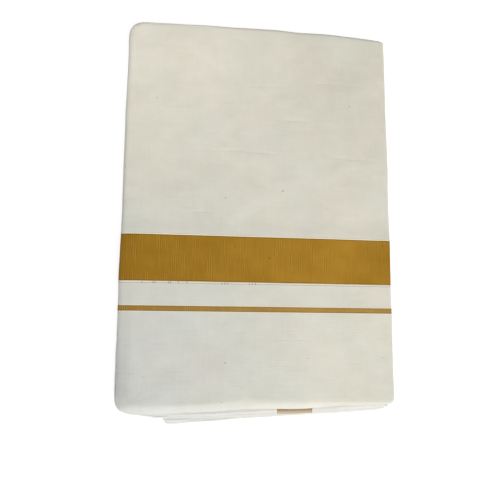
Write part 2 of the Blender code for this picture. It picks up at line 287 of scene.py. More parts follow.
def add_mesh(name, points, faces, cloth, material):
    points = points + (0, FOLD_LINE, 0)
    data = bpy.data.meshes.new(name)
    data.from_pydata(points.tolist(), [], faces.tolist())
    data.validate()
    attribute = data.attributes.new("cloth", "FLOAT_VECTOR", "POINT")
    attribute.data.foreach_set("vector", np.pad(cloth, ((0, 0), (0, 1))).ravel())
    data.materials.append(material)
    data.shade_smooth()
    data.set_sharp_from_angle(angle=math.radians(50))
    piece = add_object(name, data)
    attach(piece, "root")
    return piece


def grid_points(columns, rows):
    """a and b of a grid's points, as two flat lists."""
    a, b = np.meshgrid(columns, rows, indexing="ij")
    return a.ravel(), b.ravel()


def grid_quads(first, second):
    """The quads of a grid of points, and where each lies along the grid's second way."""
    i, j = grid_points(np.arange(first - 1), np.arange(second - 1))
    corner = i * second + j
    return np.stack([corner, corner + second, corner + second + 1, corner + 1], axis=1), j


# ---- The outer layer's form

LEFT_START = -PACK_WIDTH / 2 + ROLLS["left"].reach
RIGHT_START = PACK_WIDTH / 2 - ROLLS["right"].reach
FAR_START = PACK_LENGTH - ROLLS["far"].reach
BORDERS = (*ZARI_STRIPE, *ZARI_BAND)


def cords_beside(border, width, height):
    """The two cords along a border's edges: where the middle is, how wide and how high."""
    low, high = border
    return (low - width / 2, width, height), (high + width / 2, width, height)


CORDS = (
    *cords_beside(ZARI_STRIPE, STRIPE_CORD_WIDTH, STRIPE_CORD_HEIGHT),
    *cords_beside(ZARI_BAND, CORD_WIDTH, CORD_HEIGHT),
)


def even_lines(low, high, step):
    return np.linspace(low, high, max(1, round((high - low) / step)) + 1)


def row_lines():
    """Rows from the near fold to the far one, closer where the cords lie beside the border."""
    reach = 2 * CORD_WIDTH
    stops = {0.0, FAR_START, *BORDERS}
    stops |= {edge + reach for edge in BORDERS} | {edge - reach for edge in BORDERS}
    stops = sorted(stops)
    lines = [np.array([0.0])]
    for low, high in zip(stops, stops[1:]):
        beside_edge = min(abs((low + high) / 2 - edge) for edge in BORDERS) < reach
        step = FINE_STEP if beside_edge else GRID_STEP
        lines.append(even_lines(low, high, step)[1:])
    return np.concatenate(lines)


COLUMNS = even_lines(LEFT_START, RIGHT_START, GRID_STEP)


class Places:
    """Where grid points lie in plan: a base, the way out from it and how far."""

    def __init__(self, a, b, near_start=0.0):
        a = np.asarray(a, float)
        near_start = np.broadcast_to(near_start, a.shape)
        b = mix(near_start, FAR_START, np.asarray(b, float) / FAR_START)
        self.left = a < 0
        self.near = b < FAR_START / 2
        size = np.where(self.left, LEFT_CORNER, RIGHT_CORNER)
        left_square = np.where(self.near, *LEFT_SQUARENESS)
        square = np.where(self.left, left_square, np.where(self.near, *RIGHT_SQUARENESS))
        self.base_x = np.clip(a, LEFT_START + LEFT_CORNER, RIGHT_START - RIGHT_CORNER)
        self.base_y = np.clip(b, near_start + size, FAR_START - size)
        s, t = np.abs(a - self.base_x), np.abs(b - self.base_y)
        self.distance = np.maximum(s, t)
        ratio = np.minimum(s, t) / np.maximum(self.distance, 1e-12)
        angle = np.where(s >= t, math.pi / 4 * ratio, math.pi / 2 - math.pi / 4 * ratio)
        angle = np.where(self.distance > 0, angle, 0.0)
        cos, sin = np.cos(angle), np.sin(angle)
        stretch = (np.abs(cos) ** square + np.abs(sin) ** square) ** (-1 / square)
        self.out_x = stretch * cos * np.where(self.left, -1, 1)
        self.out_y = stretch * sin * np.where(self.near, -1, 1)
        self.across = cos * cos  # 1 on the left and right sides, 0 on the near and far ones

    def moved_out(self, extra):
        x = self.base_x + self.out_x * (self.distance + extra)
        y = self.base_y + self.out_y * (self.distance + extra)
        fade = smooth_step((y - (PACK_LENGTH - FAR_BEND)) / FAR_BEND)
        return x, y - fade * lookup(FAR_SHORTFALL, x)

    def roll(self):
        """The roll at each place, blended round the corners."""
        x, _ = self.moved_out(0.0)
        parts = []
        for field in Roll._fields:
            sides = {side: getattr(ROLLS[side], field) for side in ROLLS}
            near = lookup(NEAR_ROLL, x) if field == "reach" else sides["near"]
            across = np.where(self.left, sides["left"], sides["right"])
            along = np.where(self.near, near, sides["far"])
            parts.append(mix(along, across, self.across))
        return Roll(*parts)

    def closed(self):
        """1 where the left fold is whole, 0 where top and underside part."""
        return np.where(self.left, smooth_step(1.6 * self.across - 0.6), 0.0)


def crown(a, b):
    across = 1 - (2 * (a - LEFT_START) / (RIGHT_START - LEFT_START) - 1) ** 4
    along = 1 - (2 * b / FAR_START - 1) ** 6
    return CROWN * np.maximum(across, 0.0) * np.maximum(along, 0.0)


class Border:
    """A grid's border points, once round from the near left corner."""

    def __init__(self, columns, rows):
        last_column, last_row = len(columns) - 1, len(rows) - 1
        near = [(i, 0) for i in range(last_column)]
        right = [(last_column, j) for j in range(last_row)]
        far = [(i, last_row) for i in range(last_column, 0, -1)]
        left = [(0, j) for j in range(last_row, 0, -1)]
        column, self.row = np.array(near + right + far + left).T
        self.count = len(column)
        self.index = column * len(rows) + self.row
        self.a, self.b = columns[column], rows[self.row]
        self.after = np.roll(np.arange(self.count), -1)

    def rings(self, count, steps):
        """Quads round the side in that many rings, from a top of count points to as large a base.

        The points between the two follow them, one level after another.
        """
        between = 2 * count + np.arange((steps - 1) * self.count).reshape(steps - 1, self.count)
        levels = [self.index, *between, self.index + count]
        return [
            np.stack([upper[self.after], upper, lower, lower[self.after]], axis=1)
            for upper, lower in zip(levels, levels[1:])
        ]


def left_fold(turn, reach, height, base):
    out = reach * np.maximum(np.sin(turn), 0.0) ** LEFT_FULLNESS
    rise = np.sign(np.cos(turn)) * np.abs(np.cos(turn)) ** LEFT_FULLNESS
    return out, base + height / 2 * (1 + rise)


def even_turns(steps):
    """Turns round the left fold's upper half, evenly spaced over its surface."""
    turns = np.radians(np.linspace(0.0, 89.8, 400))
    out, height = left_fold(turns, ROLLS["left"].reach, EDGE_HEIGHT, 0.0)
    lengths = np.concatenate([[0.0], np.cumsum(np.hypot(np.diff(out), np.diff(height)))])
    return np.interp(np.linspace(0.0, lengths[-1], steps + 1), lengths, turns)


HEM_STEPS = 18
SIDE_STEPS = 2 * HEM_STEPS + 1
LEFT_TURNS = even_turns(HEM_STEPS)
LEFT_FOLD_LENGTH = 0.028  # of cloth round the left fold
NEAR_HEMS = 0.009  # mean length of cloth that a side's two rolls take up
FAR_HEMS = 0.007
SLOT_CLOSES = 0.985  # how whole the left fold is where the slot beside it ends


def side_points(places, step):
    """The outer layer's side at one step, from the top's edge at 0 to the underside's."""
    roll = places.roll()
    if step <= HEM_STEPS:
        turn = math.radians(ROLL_TURN * step / HEM_STEPS)
        out = roll.reach * math.sin(turn)
        height = EDGE_HEIGHT - roll.height / 2 * (1 - math.cos(turn))
        left_turn = LEFT_TURNS[step]
    else:
        turn = math.radians(ROLL_TURN * (SIDE_STEPS - step) / HEM_STEPS)
        out = roll.base_reach * math.sin(turn)
        height = roll.base_height / 2 * (1 - math.cos(turn))
        left_turn = math.pi - LEFT_TURNS[SIDE_STEPS - step]
    left_out, left_height = left_fold(left_turn, ROLLS["left"].reach, EDGE_HEIGHT, 0.0)
    closed = places.closed()
    x, y = places.moved_out(mix(out, left_out, closed))
    return np.stack([x, y, mix(height, left_height, closed)], axis=1)


def outer_layer():
    """The whole outer layer, with each quad numbered by its stretch from the near fold."""
    rows = row_lines()
    a, b = grid_points(COLUMNS, rows)
    x, y = Places(a, b).moved_out(0.0)
    top = np.stack([x, y, EDGE_HEIGHT + crown(a, b)], axis=1)
    base = np.stack([x, y, np.zeros_like(x)], axis=1)
    top_cloth = np.stack([x, y], axis=1)
    base_cloth = np.stack([2 * LEFT_START - LEFT_FOLD_LENGTH - x, y], axis=1)
    count = len(top)

    border = Border(COLUMNS, rows)
    places = Places(border.a, border.b)
    points, cloth = [top, base], [top_cloth, base_cloth]
    out = np.stack([places.out_x, places.out_y], axis=1)
    out /= np.linalg.norm(out, axis=1)[:, None]
    for step in range(1, SIDE_STEPS):
        points.append(side_points(places, step))
        along = LEFT_FOLD_LENGTH * step / SIDE_STEPS
        if step <= HEM_STEPS:
            cloth.append(top_cloth[border.index] + out * along)
        else:
            back = (LEFT_FOLD_LENGTH - along) * out * (-1, 1)
            cloth.append(base_cloth[border.index] + back)

    row_stretch = np.searchsorted(BORDERS, (rows[:-1] + rows[1:]) / 2)
    top_quads, quad_row = grid_quads(len(COLUMNS), len(rows))
    quads = [top_quads, top_quads[:, ::-1] + count]
    stretches = [row_stretch[quad_row]] * 2

    lower_row = np.minimum(border.row, border.row[border.after])
    border_stretch = row_stretch[np.minimum(lower_row, len(rows) - 2)]
    closed = places.closed() > SLOT_CLOSES
    for step, ring in enumerate(border.rings(count, SIDE_STEPS)):
        keep = closed & closed[border.after] if step == HEM_STEPS else slice(None)
        quads.append(ring[keep])
        stretches.append(border_stretch[keep])
    surface = Surface(*map(np.concatenate, (points, cloth, quads, stretches)))
    relief = surface.normals() * outer_relief(surface.points)[:, None]
    surface.points[:, 2] -= shoulder_drop(surface.points)
    surface.points[:] += relief
    return surface


def ridge(distance, width):
    """A smooth bump, 1 at its middle and 0 from half its width on."""
    turn = math.pi * np.minimum(np.abs(2 * distance / width), 1.0)
    return 0.5 + 0.5 * np.cos(turn)


def shoulder_drop(points):
    """How far the top has sunk towards each side, fading out down the rolls."""
    x, y, z = points.T
    along = lookup(NEAR_SHOULDER, y - lookup(NEAR_BEND, x)) + lookup(FAR_SHOULDER, FAR_START - y)
    across = lookup(LEFT_SHOULDER, x - LEFT_START) * lookup(LEFT_SHOULDER_SHARE, y)
    drop = np.minimum(np.hypot(along, across), MOST_DROP)
    return drop * smooth_step((z - SHOULDER_BASE) / (6 * MM))


def outer_relief(points):
    """How far the outer layer's surface stands out: undulation, creases, hollows and cords."""
    x, y, z = points.T
    on_top = smooth_step((z - (EDGE_HEIGHT - 3 * MM)) / (3 * MM))
    off_floor = smooth_step((z - 1 * MM) / (3 * MM))
    relief = 0.3 * MM * ripples(points, 0.085, seed=3)
    relief += 0.07 * MM * ripples(points, 0.024, seed=4)
    relief += 0.12 * MM * ripples(points, 0.03, seed=5) * (1 - on_top)
    for mid_x, mid_y, length, depth, turn in CREASES:
        cos, sin = math.cos(math.radians(turn)), math.sin(math.radians(turn))
        along = (x - mid_x) * cos + (y - mid_y) * sin
        aside = (y - mid_y) * cos - (x - mid_x) * sin
        aside = aside + 1.2 * MM * np.sin(along / 0.017 + mid_x * 90)
        fade = smooth_step(1.6 * (1 - np.abs(along) / (length / 2)))
        relief -= depth * MM * fade * ridge(aside, 3 * CREASE_WIDTH)
        relief += 0.6 * depth * MM * fade * ridge(aside - CREASE_WIDTH, 3 * CREASE_WIDTH)
    for mid_x, mid_y, radius, depth in HOLLOWS:
        distance = np.hypot(x - mid_x, y - mid_y) / radius
        relief -= depth * MM * on_top * smooth_step(1 - distance)
    # Folds inside press against the left side
    on_left = smooth_step((LEFT_START - x) / (5 * MM)) * (1 - on_top)
    wander = 0.55 * ripples(points, 0.11, seed=6, stretch=(1.0, 1.0, 0.4))
    humps = np.abs(np.sin(math.pi * z / PRESSED_FOLD + wander))
    relief += 0.7 * MM * on_left * (humps - 0.64)
    relief *= off_floor
    for middle, width, height in CORDS:
        relief += height * off_floor * ridge(y - middle, width)
    return relief


# ---- The lower folds


class Ply(NamedTuple):
    """One layer of a lower fold: how tall it is, how far back it starts and where it ends."""

    height: float
    set_back: float
    left_end: float
    right_end: float


PLIES = (
    Ply(FOLD_HEIGHT, 0.0, 0.0, 0.0),
    Ply(FOLD_HEIGHT - 1.3 * MM, 0.9 * MM, 1.6 * MM, 2.2 * MM),
    Ply(FOLD_HEIGHT - 2.4 * MM, 1.7 * MM, -1.2 * MM, -2 * MM),
)
FOLD_TURNS = np.radians(np.linspace(0, 180, 13))
TUCK_STEPS = 6
LEDGE_STEPS = (0.0, 0.08, 0.16, 0.24, 0.32, 0.4, 0.5, 0.62, 0.76, 0.9)


def fold_sag(points, cover, nose, base):
    """How far a lower fold's upper half sinks, under the edge that covers it and outwards."""
    ledge = np.maximum(cover - nose, MM)
    out = cover - points[:, :, 1]
    shown = np.clip(out / ledge, 0.0, 1.1)
    upper = np.clip((points[:, :, 2] - base) / FOLD_HEIGHT, 0.0, 1.0)
    amount = np.minimum(ledge / (6 * MM), 1.0)
    pressed = np.exp(-np.maximum(out - FOLD_PRESS_WIDTH, 0.0) / FOLD_PRESS_REACH)
    pressed *= lookup(FOLD_PRESS, points[:, :, 0])
    return upper * (amount * (FOLD_SAG * shown**2 - FOLD_SWELL * shown) + pressed)


def ply_surface(edge_table, cover_table, base, ply, seed, borders):
    """One layer of a lower fold, from its tucked top round the edge to its tucked underside."""
    start, end = edge_table[0][0] - ply.left_end, edge_table[-1][0] + ply.right_end
    stops = [start, *borders, end]
    spans = [even_lines(low, high, FOLD_STEP)[1:] for low, high in zip(stops, stops[1:])]
    x = np.concatenate([[start], *spans])
    along = np.stack([x, np.full_like(x, seed), np.full_like(x, base)], axis=1)
    edge = lookup(edge_table, x) + ply.set_back + 0.3 * MM * ripples(along, 0.034, seed)
    middle = base + FOLD_HEIGHT / 2 + 0.1 * MM * ripples(along, 0.045, seed + 1)
    half = ply.height / 2 - 0.1 * MM
    tucks = np.arange(TUCK_STEPS) / TUCK_STEPS
    nose = edge + FOLD_REACH
    cover = lookup(cover_table, x)
    rows = [(np.full_like(x, FOLD_ROOT), middle + half)]
    rows += [(mix(cover + 1.2 * MM, nose, t), middle + half) for t in LEDGE_STEPS]
    rows += [
        (nose - FOLD_REACH * math.sin(turn), middle + half * math.cos(turn)) for turn in FOLD_TURNS
    ]
    rows += [(mix(FOLD_ROOT, nose, t), middle - half) for t in tucks[::-1]]
    points = np.array([np.stack([x, y, z], axis=1) for y, z in rows])
    points[:, :, 2] -= fold_sag(points, cover, nose, base)
    steps = np.linalg.norm(np.diff(points, axis=0), axis=2)
    length = np.concatenate([np.zeros((1, len(x))), np.cumsum(steps, axis=0)])
    cloth = np.stack([np.broadcast_to(x, length.shape), -length], axis=2)
    quads, quad_column = grid_quads(*points.shape[:2])
    stretches = np.searchsorted(borders, ((x[:-1] + x[1:]) / 2)[quad_column])
    return Surface(points.reshape(-1, 3), cloth.reshape(-1, 2), quads, stretches)


def lower_fold(edge_table, cover_table, base, seed, borders=()):
    """All layers of one lower fold, nested in each other."""
    layers = [
        ply_surface(edge_table, cover_table, base, ply, seed + 10 * number, borders)
        for number, ply in enumerate(PLIES)
    ]
    points, cloth, quads, stretches = zip(*layers)
    offsets = np.cumsum([0, *map(len, points)])
    quads = [each + offset for each, offset in zip(quads, offsets)]
    return Surface(*map(np.concatenate, (points, cloth, quads, stretches)))


# ---- The hidden layers


INSIDE = CLOTH + SEAM + 0.55 * MM  # from the outer layer's face to the hidden layers'
NOSE_TURNS = np.radians((30, 60, 90, 120, 150, 180))


def layer_profile(places, seed):
    """The hidden layers' open side as a list of (out, height) arrays, top to bottom."""
    draw = np.random.default_rng(seed)
    roll = places.roll()
    top = EDGE_HEIGHT - INSIDE
    nose_height = roll.height - 2 * INSIDE
    nose_reach = np.maximum(roll.reach - INSIDE - SEAM, SEAM)
    profile = [
        (nose_reach * math.sin(turn), top - nose_height / 2 * (1 - math.cos(turn)))
        for turn in NOSE_TURNS
    ]
    tucked = (1 - math.cos(math.radians(ROLL_TURN))) / 2
    slot_top = EDGE_HEIGHT - tucked * roll.height - SEAM
    slot_base = tucked * roll.base_height + SEAM
    root = np.full_like(nose_reach, -LAYER_ROOT)
    profile.append((root, profile[-1][1]))
    shares = draw.uniform(0.75, 1.35, THIN_FOLDS)
    stops = np.concatenate([[0.0], np.cumsum(shares) / shares.sum()])
    x, y = places.moved_out(0.0)
    around = np.stack([x, y, np.zeros_like(x)], axis=1)
    reach = mix(
        np.where(places.near, LAYER_REACH["near"], LAYER_REACH["far"]),
        np.where(places.left, 0.0, LAYER_REACH["right"]),
        places.across,
    )
    for fold in range(THIN_FOLDS):
        uneven = LAYER_UNEVEN * draw.uniform(-1.0, 1.0)
        wave = LAYER_WAVE * ripples(around, 0.12, seed + fold)
        this_reach = (np.maximum(reach + uneven + wave, 0.0) + LAYER_ROOT) * (reach > 0)
        for k in range(POINTS_PER_FOLD):
            turn = math.pi * k / POINTS_PER_FOLD
            share = mix(stops[fold], stops[fold + 1], (1 - math.cos(turn)) / 2)
            out = this_reach * math.sin(turn) ** 0.7 - LAYER_ROOT
            profile.append((out, mix(slot_top, slot_base, share)))
    return profile + [(root, slot_base), (root, np.full_like(root, INSIDE))]


def hidden_layers(material):
    """All layers inside the outer one: a solid whose open sides show many thin folds."""
    columns = even_lines(LEFT_START, RIGHT_START, HIDDEN_STEP)
    rows = even_lines(0.0, FAR_START, HIDDEN_STEP)
    a, b = grid_points(columns, rows)
    x, y = Places(a, b).moved_out(0.0)
    top = np.stack([x, y, EDGE_HEIGHT + crown(a, b) - INSIDE], axis=1)
    x, y = Places(a, b, lookup(LOW_RECESS, a)).moved_out(0.0)
    base = np.stack([x, y, np.full_like(x, INSIDE)], axis=1)
    count = len(top)
    border = Border(columns, rows)
    where = Places(border.a, border.b)
    high, low = (
        Places(border.a, border.b, lookup(table, border.a)) for table in (HIGH_RECESS, LOW_RECESS)
    )
    closed = where.closed()
    profile = layer_profile(where, seed=40)
    points = [top, base]
    for level, (out, height) in enumerate(profile, start=1):
        turn = math.pi * level / (len(profile) + 1)
        left_out, left_height = left_fold(
            turn, ROLLS["left"].reach - INSIDE, EDGE_HEIGHT - 2 * INSIDE, INSIDE
        )
        spot = low if np.mean(height) < SECOND_FOLD_BASE - SEAM else high
        if level <= len(NOSE_TURNS):
            spot = where
        ease = 5 * MM * closed * (1 - closed)
        x, y = spot.moved_out(mix(out, left_out, closed) - ease)
        points.append(np.stack([x, y, mix(height, left_height, closed)], axis=1))
    base[border.index] = points.pop()
    points = np.concatenate(points)
    points[:, 2] -= shoulder_drop(points)
    top_quads, _ = grid_quads(len(columns), len(rows))
    quads = [top_quads, top_quads[:, ::-1] + count, *border.rings(count, len(profile))]
    return add_mesh("hidden_layers_cloth", points, np.concatenate(quads), points[:, :2], material)


# ---- Materials


class Nodes:
    """A short way to write a material's node tree."""

    def __init__(self, name):
        self.material = bpy.data.materials.new(name)
        self.material.use_nodes = True
        self.tree = self.material.node_tree
        self.cloth = self.add("ShaderNodeAttribute", {}, attribute_name="cloth").outputs["Vector"]

    def add(self, kind, inputs, **settings):
        node = self.tree.nodes.new(kind)
        for key, value in settings.items():
            setattr(node, key, value)
        self.fill(node, inputs)
        return node

    def fill(self, node, inputs):
        """Each of a node's inputs joined to another node's output, or set to a number or colour."""
        for key, value in inputs.items():
            if isinstance(value, bpy.types.NodeSocket):
                self.tree.links.new(value, node.inputs[key])
            else:
                node.inputs[key].default_value = value

    def math(self, operation, *values):
        return self.add("ShaderNodeMath", dict(enumerate(values)), operation=operation).outputs[0]

    def vector_math(self, operation, vector):
        """What that operation makes of the place in the flat cloth and that vector."""
        inputs = {0: self.cloth, 1: vector}
        return self.add("ShaderNodeVectorMath", inputs, operation=operation).outputs

    def times(self, first, second):
        return self.math("MULTIPLY", first, second)

    def most(self, values):
        """The highest of those values."""
        highest, *others = values
        for value in others:
            highest = self.math("MAXIMUM", highest, value)
        return highest

    def varied(self, tone, value, amount, middle=0.5):
        """A tone, raised where that value is above its middle."""
        return self.math("MULTIPLY_ADD", self.math("SUBTRACT", value, middle), amount, tone)

    def noise(self, across, along, detail=2.0, roughness=0.5):
        """Smooth noise from 0 to 1, with that many waves a metre across the pack and along it."""
        place = self.vector_math("MULTIPLY", (across, along, 1))["Vector"]
        inputs = {"Vector": place, "Scale": 1.0, "Detail": detail, "Roughness": roughness}
        return self.add("ShaderNodeTexNoise", inputs).outputs["Fac"]

    def spread(self, value, low, high, to_low=0.0, to_high=1.0):
        """The value, taken from one range to another and held at its ends."""
        ends = {"From Min": low, "From Max": high, "To Min": to_low, "To Max": to_high}
        return self.add("ShaderNodeMapRange", {"Value": value} | ends).outputs["Result"]

    def blend(self, weight, first, second, kind="MIX"):
        inputs = {0: weight, 6: first, 7: second}
        return self.add("ShaderNodeMix", inputs, data_type="RGBA", blend_type=kind).outputs[2]

    def marked(self, base, where, amount, colour):
        """The base with that much of a colour in it there."""
        return self.blend(self.times(where, amount), base, (*colour, 1))

    def axis(self, name):
        return self.add("ShaderNodeSeparateXYZ", {0: self.cloth}).outputs[name]

    def wave(self, coordinate, pitch, phase=0.0):
        """A sine of the coordinate, one wave for each pitch, from 0 to 1."""
        turned = self.math("MULTIPLY_ADD", coordinate, 2 * math.pi / pitch, phase)
        return self.math("MULTIPLY_ADD", self.math("SINE", turned), 0.5, 0.5)

    def distance(self, x, y):
        """How far the cloth is from that point of it, in metres."""
        return self.vector_math("DISTANCE", (x, y, 0))["Value"]

    def lines(self, coordinate, places, width, softness):
        """1 on lines across that coordinate at those places, 0 away from them."""
        found = []
        for place in places:
            off = self.math("ABSOLUTE", self.math("SUBTRACT", coordinate, place))
            found.append(self.spread(off, width / 2 + softness / 2, width / 2 - softness / 2))
        return self.most(found)

    def pressed_lines(self, creases):
        """1 along the middles of those creases, 0 away from them."""
        wander = self.math("SUBTRACT", self.noise(55, 55), 0.5)
        found = []
        for mid_x, mid_y, length, _, turn in creases:
            cos, sin = math.cos(math.radians(turn)), math.sin(math.radians(turn))
            off_x = self.math("SUBTRACT", self.axis("X"), mid_x)
            off_y = self.math("SUBTRACT", self.axis("Y"), mid_y)
            along = self.math("MULTIPLY_ADD", off_x, cos, self.times(off_y, sin))
            aside = self.math("MULTIPLY_ADD", off_x, -sin, self.times(off_y, cos))
            aside = self.math("ABSOLUTE", self.math("MULTIPLY_ADD", wander, 6 * MM, aside))
            line = self.spread(aside, 1.3 * MM, 0.2 * MM)
            reach = self.spread(self.math("ABSOLUTE", along), length / 2, length / 4)
            found.append(self.times(line, reach))
        return self.most(found)

    def flecks(self, spots):
        """1 on small round spots, 0 away from them."""
        ragged = self.noise(900, 900, detail=1.0)
        found = []
        for x, y, radius in spots:
            off = self.math("MULTIPLY_ADD", ragged, 0.8 * MM, self.distance(x, y))
            found.append(self.spread(off, (radius + 0.7) * MM, (radius - 0.1) * MM))
        return self.most(found)

    def scattered_flecks(self, per_metre, size, seed):
        """1 on small spots scattered at random over the cloth, about that many a metre."""
        inputs = {"Vector": self.vector_math("ADD", (seed, seed, 0))["Vector"], "Scale": per_metre}
        cells = self.add("ShaderNodeTexVoronoi", inputs, voronoi_dimensions="2D").outputs
        chosen = self.add("ShaderNodeSeparateXYZ", {0: cells["Color"]}).outputs["X"]
        some = self.spread(chosen, 0.7, 0.72)
        spot = self.spread(cells["Distance"], size * 0.5, size * 0.2)
        return self.times(some, spot)

    def finished(self, base, roughness, normal, plain):
        """The material, with those joined to its shader and its plain values set."""
        joined = {"Base Color": base, "Roughness": roughness, "Normal": normal}
        self.fill(self.tree.nodes["Principled BSDF"], joined | plain)
        return self.material

    def bump(self, height, distance, beneath=None):
        """The normal of relief that high, on top of that of another bump beneath it."""
        inputs = {"Strength": 1.0, "Distance": distance, "Height": height}
        if beneath is not None:
            inputs["Normal"] = beneath
        return self.add("ShaderNodeBump", inputs).outputs["Normal"]


THREAD_PITCH = 0.42 * MM
SHADED = (0.3, 0.29, 0.24)  # of the lines that lie in shade
CORD_SHOWS = (0.5, 0.6, 0.9, 0.6)  # how much paler than the cotton each cord is
SELVEDGE_CORD_SHOWS = (0.3, 0.3)
# Painted light and shade: patches where the cotton is drawn greyer, duller or brighter: x, y, reach,
# how much, and what tints it
COTTON_LIGHT_AND_SHADE = (
    (-0.15, 0.03, 0.24, 0.8, (0.84, 0.895, 1.0)),
    (0.11, 0.375, 0.15, 0.75, (0.895, 0.885, 0.86)),
    (-0.09, 0.255, 0.15, 0.6, (0.905, 0.915, 0.92)),
    (-0.11, 0.4, 0.16, 0.6, (1.08, 1.045, 1.03)),
    (0.08, 0.03, 0.13, 0.6, (1.08, 1.09, 1.1)),
    (0.13, 0.08, 0.2, 0.3, (1.08, 1.08, 1.07)),
    (-0.162, 0.018, 0.04, 0.9, (0.88, 0.88, 0.89)),
)
# Painted light: what tints the near roll, at its left and its right
ROLL_PAINTED_LIGHT = ((1.06, 1.06, 1.08, 1), (0.98, 1.0, 1.05, 1))
# Painted light: what brightens the left side and the left part of the far roll
SIDE_PAINTED_LIGHT = (1.36, 1.36, 1.38)
FAR_PAINTED_LIGHT = (1.16, 1.16, 1.18)
# Flecks of seed husk in the cotton, and knots in the zari: x and y in m, radius in mm
COTTON_FLECKS = (
    (-0.1234, 0.3507, 0.8), (-0.0403, 0.2328, 0.8), (0.0277, 0.2437, 1.1), (0.1116, 0.3546, 0.8),
    (-0.0385, 0.0439, 0.9), (0.0569, 0.0491, 0.7), (-0.0414, 0.0006, 0.7),
)
THREAD_PAIR_PITCH = 2.4 * MM
ZARI_KNOTS = ((0.0118, 0.1632, 1.2), (-0.0287, 0.1758, 0.9))
# x of the dark ends of yarn caught in the cord at the band's near edge
CORD_TICKS = in_metres(
    -133.5, -121.3, -119.1, -104, -101.8, -92.8, -83.2, -43.4, -40, -36.6, -11.6, -8.1, -4.6
)


def plain_weave(nodes, distort):
    """Height of a plain weave, from 0 in its gaps to 1: threads pass over each other in turn."""
    x = nodes.math("MULTIPLY_ADD", distort, 0.25 * MM, nodes.axis("X"))
    y = nodes.math("MULTIPLY_ADD", distort, 0.25 * MM, nodes.axis("Y"))
    warp, weft = nodes.wave(x, THREAD_PITCH), nodes.wave(y, THREAD_PITCH)
    over = nodes.times(nodes.wave(x, 2 * THREAD_PITCH), nodes.wave(y, 2 * THREAD_PITCH))
    return nodes.math("MULTIPLY_ADD", over, 0.5, nodes.times(nodes.times(warp, weft), 0.5))


class CottonColours(NamedTuple):
    """Base colours of cotton, from its thin places to its full ones, with a warmer cast in parts."""

    low: tuple
    high: tuple
    warm_low: tuple
    warm_high: tuple


SHEET_COLOURS = CottonColours(
    low=(0.65, 0.642, 0.552),
    high=(0.755, 0.747, 0.664),
    warm_low=(0.665, 0.637, 0.547),
    warm_high=(0.765, 0.737, 0.654),
)
# Painted light: the folds inside are drawn lighter and less yellow than the outer layer
FOLD_COLOURS = CottonColours(
    low=(0.7, 0.7, 0.675),
    high=(0.8, 0.8, 0.78),
    warm_low=(0.705, 0.695, 0.66),
    warm_high=(0.805, 0.795, 0.765),
)


def sheet_tones(nodes, base):
    """The outer layer's painted light and shade: broad patches, and tints on the near roll, the left
    side and the far roll.
    """
    x, y = nodes.axis("X"), nodes.axis("Y")
    # painted light and shade, in patches over the sheet
    for spot_x, spot_y, reach, amount, colour in COTTON_LIGHT_AND_SHADE:
        near = nodes.spread(nodes.distance(spot_x, spot_y), reach, 0.0, 0.0, amount)
        base = nodes.blend(near, base, (*colour, 1), kind="MULTIPLY")
    # painted light on the near roll
    rolled = nodes.spread(y, 1 * MM, -5 * MM)
    tint = nodes.blend(nodes.spread(x, 0.01, 0.08), *ROLL_PAINTED_LIGHT)
    base = nodes.blend(rolled, base, tint, kind="MULTIPLY")
    # painted light on the left side
    side = nodes.lines(x, (LEFT_START - 18 * MM,), 22 * MM, 5 * MM)
    side = nodes.times(side, nodes.spread(y, 0.02, 0.08, 0.5, 1.0))
    base = nodes.blend(side, base, (*SIDE_PAINTED_LIGHT, 1), kind="MULTIPLY")
    # painted light on the left part of the far roll
    far = nodes.spread(y, FAR_START - 0.5 * MM, FAR_START + 1 * MM)
    far = nodes.times(far, nodes.spread(x, -0.08, -0.03, 1.0, 0.0))
    return nodes.blend(far, base, (*FAR_PAINTED_LIGHT, 1), kind="MULTIPLY")


def border_marks(nodes, base):
    """Shade beside the zari band, and the dark ends of yarn caught in its near cord."""
    x, y = nodes.axis("X"), nodes.axis("Y")
    beneath = nodes.lines(y, (ZARI_BAND[0] - CORD_WIDTH - 0.4 * MM,), 1 * MM, 0.4 * MM)
    base = nodes.marked(base, beneath, 0.55, SHADED)
    beyond = nodes.lines(y, (ZARI_BAND[1] + 9 * MM,), 18 * MM, 12 * MM)
    base = nodes.marked(base, beyond, 0.08, SHADED)
    ticks = nodes.lines(x, CORD_TICKS, 0.9 * MM, 0.2 * MM)
    ticks = nodes.times(ticks, nodes.lines(y, (ZARI_BAND[0] - CORD_WIDTH,), 2.6 * MM, 0.5 * MM))
    return nodes.marked(base, ticks, 0.6, (0.16, 0.13, 0.07))


